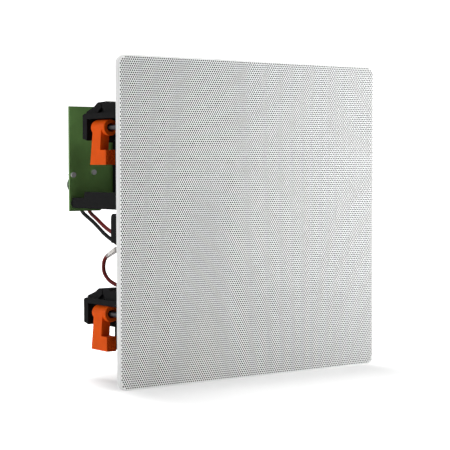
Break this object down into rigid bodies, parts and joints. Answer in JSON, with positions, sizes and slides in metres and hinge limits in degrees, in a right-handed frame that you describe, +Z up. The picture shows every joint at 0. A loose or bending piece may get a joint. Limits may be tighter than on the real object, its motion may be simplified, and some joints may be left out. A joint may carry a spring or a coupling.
{
  "type": "ceiling speaker",
  "caption": "Square flush ceiling speaker with perforated steel grille, coaxial two-way driver, crossover board, and screw clamps that swing out and pull towards the flange.",
  "frame": {"origin": "centre of the flange gasket's sealing face, the plane that meets the ceiling", "axes": "+Y out of the sealing face into the ceiling space, the grille facing -Y; +Z up and +X right as the speaker is seen from the front"},
  "size_m": [0.23, 0.1136, 0.23],
  "materials": {
    "grille_white": "satin white powder coat",
    "cloth_black": "thin woven acoustic cloth",
    "small_magnet": "nickel plated",
    "abs_black": "fine moulded grain",
    "foam_grey": "closed-cell foam",
    "basket_black": "black powder coat",
    "fibre_gasket": "pressed fibre ring",
    "screw_zinc": "bright zinc plate",
    "surround_rubber": "smooth butyl rubber",
    "cone_poly": "woven-look polypropylene",
    "coil_copper": "enamelled copper wire",
    "spider_cloth": "resin-treated cotton",
    "plate_zinc": "clear zinc plate",
    "ferrite": "sintered ferrite",
    "dome_silver": "anodised dome",
    "fibre_board": "phenolic fibre board",
    "board_green": "green solder mask",
    "winding_copper": "enamelled copper winding",
    "coil_green": "grey-green varnished coil",
    "can_blue": "heat-shrunk film",
    "cement_white": "cement filled",
    "header_white": "nylon",
    "tab_steel": "tinned steel",
    "lever_red": "moulded red",
    "lever_black": "moulded black",
    "sleeve_clear": "clear vinyl",
    "lead_black": "vinyl insulation",
    "lead_red": "vinyl insulation",
    "clamp_orange": "glass-filled nylon",
    "bush_brass": "turned brass",
    "screw_dark": "dark zinc plate"
  },
  "bodies": {
    "root": {"grille": "grille_white", "acoustic_cloth": "cloth_black", "grille_magnets": "small_magnet", "mounting_frame": "abs_black", "flange_gasket": "foam_grey", "woofer_basket": "basket_black", "woofer_gasket": "fibre_gasket", "woofer_screws": "screw_zinc", "surround": "surround_rubber", "spider": "spider_cloth", "top_plate": "plate_zinc", "ferrite_magnet": "ferrite", "yoke": "plate_zinc", "tweeter_post": "abs_black", "tweeter_housing": "abs_black", "tweeter_dome": "dome_silver", "tweeter_guard": "abs_black", "woofer_terminal": "fibre_board", "crossover_bracket": "abs_black", "bracket_screws": "screw_zinc", "crossover_board": "board_green", "board_screws": "screw_zinc", "large_inductor": "winding_copper", "small_inductor": "coil_green", "capacitors": "can_blue", "resistors": "cement_white", "lead_header": "header_white", "input_terminal": "abs_black", "terminal_tab": "tab_steel", "spade_connector": "tab_steel", "spade_sleeve": "sleeve_clear", "lead_black": "lead_black", "lead_red": "lead_red", "woofer_lead": "lead_red"},
    "cone_body": {"cone": "cone_poly", "voice_coil": "coil_copper"},
    "red_lever_body": {"lever_red": "lever_red"},
    "black_lever_body": {"lever_black": "lever_black"},
    "screw_body_upper_left": {"screw_upper_left": "screw_dark"},
    "bush_body_upper_left": {"bush_upper_left": "bush_brass"},
    "clamp_body_upper_left": {"clamp_upper_left": "clamp_orange"},
    "screw_body_lower_left": {"screw_lower_left": "screw_dark"},
    "bush_body_lower_left": {"bush_lower_left": "bush_brass"},
    "clamp_body_lower_left": {"clamp_lower_left": "clamp_orange"},
    "screw_body_upper_right": {"screw_upper_right": "screw_dark"},
    "bush_body_upper_right": {"bush_upper_right": "bush_brass"},
    "clamp_body_upper_right": {"clamp_upper_right": "clamp_orange"},
    "screw_body_lower_right": {"screw_lower_right": "screw_dark"},
    "bush_body_lower_right": {"bush_lower_right": "bush_brass"},
    "clamp_body_lower_right": {"clamp_lower_right": "clamp_orange"}
  },
  "joints": [
    {"name": "cone_travel", "type": "slide", "parent": "root", "child": "cone_body", "axis": [0, 1, 0], "range_m": [-0.004, 0.004], "stiffness_N_per_m": 1200, "deforming": ["surround", "spider"]},
    {"name": "red_lever_press", "type": "hinge", "parent": "root", "child": "red_lever_body", "pos_m": [-0.0921, 0.0336, 0.0017], "axis": [-1, 0, 0], "range_deg": [0, 18], "stiffness_Nm_per_rad": 0.02, "springref_deg": -5.73},
    {"name": "black_lever_press", "type": "hinge", "parent": "root", "child": "black_lever_body", "pos_m": [-0.0849, 0.0336, 0.0017], "axis": [-1, 0, 0], "range_deg": [0, 18], "stiffness_Nm_per_rad": 0.02, "springref_deg": -5.73},
    {"name": "screw_turn_upper_left", "type": "hinge", "parent": "root", "child": "screw_body_upper_left", "pos_m": [-0.0956, 0.006, 0.0665], "axis": [0, 1, 0], "range_deg": [0, 4320]},
    {"name": "clamp_travel_upper_left", "type": "slide", "parent": "root", "child": "bush_body_upper_left", "axis": [0, 1, 0], "range_m": [-0.024, 0]},
    {"name": "clamp_swing_upper_left", "type": "hinge", "parent": "bush_body_upper_left", "child": "clamp_body_upper_left", "pos_m": [-0.0956, 0.0478, 0.0665], "axis": [0, 1, 0], "range_deg": [0, 90]},
    {"name": "screw_turn_lower_left", "type": "hinge", "parent": "root", "child": "screw_body_lower_left", "pos_m": [-0.0956, 0.006, -0.0665], "axis": [0, 1, 0], "range_deg": [0, 4320]},
    {"name": "clamp_travel_lower_left", "type": "slide", "parent": "root", "child": "bush_body_lower_left", "axis": [0, 1, 0], "range_m": [-0.024, 0]},
    {"name": "clamp_swing_lower_left", "type": "hinge", "parent": "bush_body_lower_left", "child": "clamp_body_lower_left", "pos_m": [-0.0956, 0.0478, -0.0665], "axis": [0, 1, 0], "range_deg": [0, 90]},
    {"name": "screw_turn_upper_right", "type": "hinge", "parent": "root", "child": "screw_body_upper_right", "pos_m": [0.0956, 0.006, 0.0665], "axis": [0, 1, 0], "range_deg": [0, 4320]},
    {"name": "clamp_travel_upper_right", "type": "slide", "parent": "root", "child": "bush_body_upper_right", "axis": [0, 1, 0], "range_m": [-0.024, 0]},
    {"name": "clamp_swing_upper_right", "type": "hinge", "parent": "bush_body_upper_right", "child": "clamp_body_upper_right", "pos_m": [0.0956, 0.0478, 0.0665], "axis": [0, 1, 0], "range_deg": [0, 90]},
    {"name": "screw_turn_lower_right", "type": "hinge", "parent": "root", "child": "screw_body_lower_right", "pos_m": [0.0956, 0.006, -0.0665], "axis": [0, 1, 0], "range_deg": [0, 4320]},
    {"name": "clamp_travel_lower_right", "type": "slide", "parent": "root", "child": "bush_body_lower_right", "axis": [0, 1, 0], "range_m": [-0.024, 0]},
    {"name": "clamp_swing_lower_right", "type": "hinge", "parent": "bush_body_lower_right", "child": "clamp_body_lower_right", "pos_m": [0.0956, 0.0478, -0.0665], "axis": [0, 1, 0], "range_deg": [0, 90]}
  ],
  "couplings": [
    {"joint": "screw_turn_upper_left", "follows": "clamp_travel_upper_left", "rad_per_m": -3141.6},
    {"joint": "screw_turn_lower_left", "follows": "clamp_travel_lower_left", "rad_per_m": -3141.6},
    {"joint": "screw_turn_upper_right", "follows": "clamp_travel_upper_right", "rad_per_m": -3141.6},
    {"joint": "screw_turn_lower_right", "follows": "clamp_travel_lower_right", "rad_per_m": -3141.6}
  ]
}
